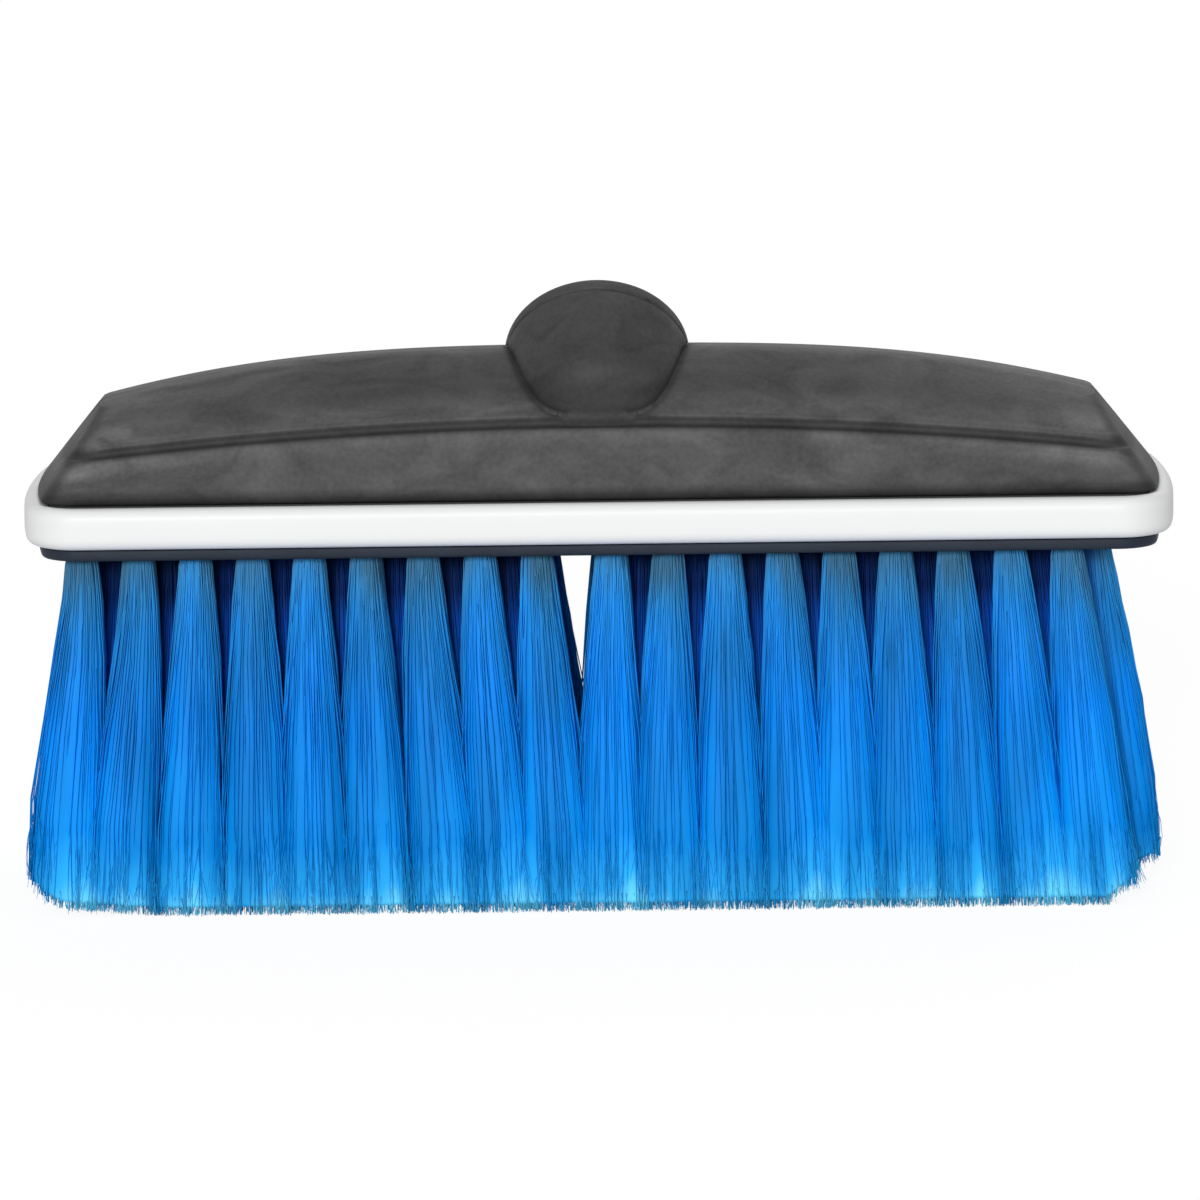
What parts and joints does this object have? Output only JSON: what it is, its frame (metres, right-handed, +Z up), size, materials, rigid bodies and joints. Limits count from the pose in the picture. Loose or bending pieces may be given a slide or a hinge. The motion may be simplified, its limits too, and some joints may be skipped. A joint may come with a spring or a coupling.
{
  "type": "wash brush",
  "caption": "Flow-through wash brush head: arched black block with a leaning pole socket, white bumper strip and staggered flared blue bristle tufts.",
  "frame": {"origin": "middle of the bounding box at the level of the bristle tips", "axes": "+X along the block, -Y is the front that the picture shows, +Z up through the block with the bristles pointing down"},
  "size_m": [0.259, 0.0778, 0.1377],
  "materials": {
    "black_plastic": "matte structural-foam moulding, faintly mottled",
    "white_vinyl": "soft satin vinyl",
    "blue_bristle": "flagged filament, satin",
    "seal_rubber": "matte",
    "screw_steel": "plated",
    "insert_plastic": "smooth moulded"
  },
  "bodies": {
    "root": {"upper_cover": "black_plastic", "base_plate": "black_plastic", "bumper_strip": "white_vinyl", "cover_gasket": "seal_rubber", "threaded_insert": "insert_plastic", "hose_washer": "seal_rubber", "cover_screw_1": "screw_steel", "cover_screw_2": "screw_steel", "cover_screw_3": "screw_steel", "cover_screw_4": "screw_steel", "cover_screw_5": "screw_steel", "cover_screw_6": "screw_steel", "front_tuft_strip_left": "blue_bristle", "front_tuft_strip_right": "blue_bristle", "second_tuft_strip_left": "blue_bristle", "second_tuft_strip_right": "blue_bristle", "fourth_tuft_strip_left": "blue_bristle", "fourth_tuft_strip_right": "blue_bristle", "rear_tuft_strip_left": "blue_bristle", "rear_tuft_strip_right": "blue_bristle", "middle_tuft_strip_left_inner": "blue_bristle", "middle_tuft_strip_left_outer": "blue_bristle", "middle_tuft_strip_right_inner": "blue_bristle", "middle_tuft_strip_right_outer": "blue_bristle"}
  },
  "joints": []
}
